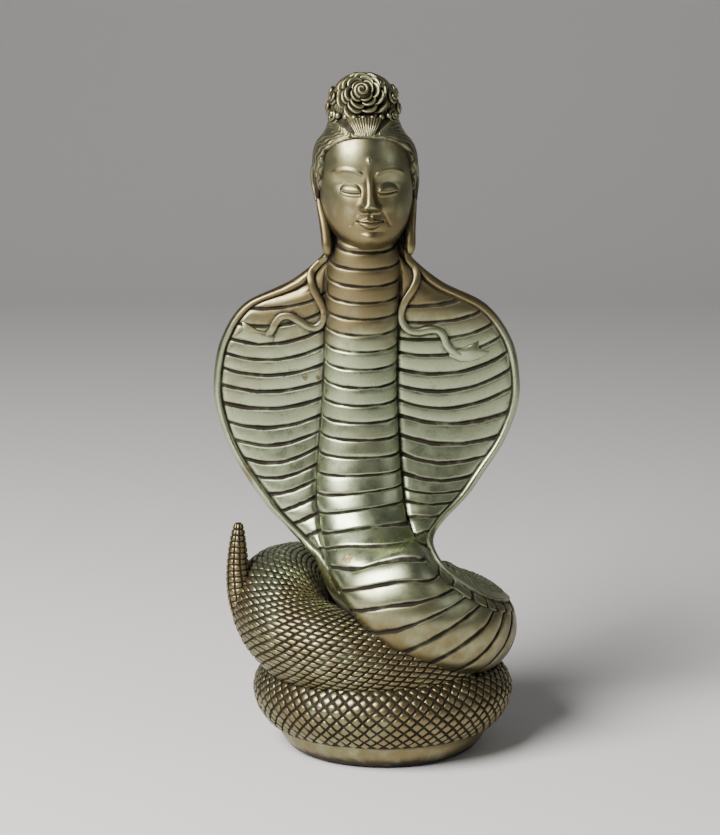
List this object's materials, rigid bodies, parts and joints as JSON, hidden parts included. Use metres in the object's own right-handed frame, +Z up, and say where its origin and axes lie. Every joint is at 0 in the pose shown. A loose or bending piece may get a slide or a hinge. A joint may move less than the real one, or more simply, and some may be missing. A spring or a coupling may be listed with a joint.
{
  "type": "guanyin cobra figure",
  "caption": "Cast metal figure of a cobra rearing from its coils with its hood spread, carrying the crowned head of Guanyin; it stands on the plain foot under the lowest coil.",
  "frame": {"origin": "on the surface the figure stands on, under the middle of its bounding box", "axes": "+Z up, the hood and face look along -Y, +X is to the right of a viewer facing the figure"},
  "size_m": [0.0812, 0.0654, 0.18],
  "materials": {
    "casting": "pale cast brass, worn bright on the high places, near-black patina in the grooves"
  },
  "bodies": {
    "root": {"guanyin_cobra_figure": "casting"}
  },
  "joints": []
}
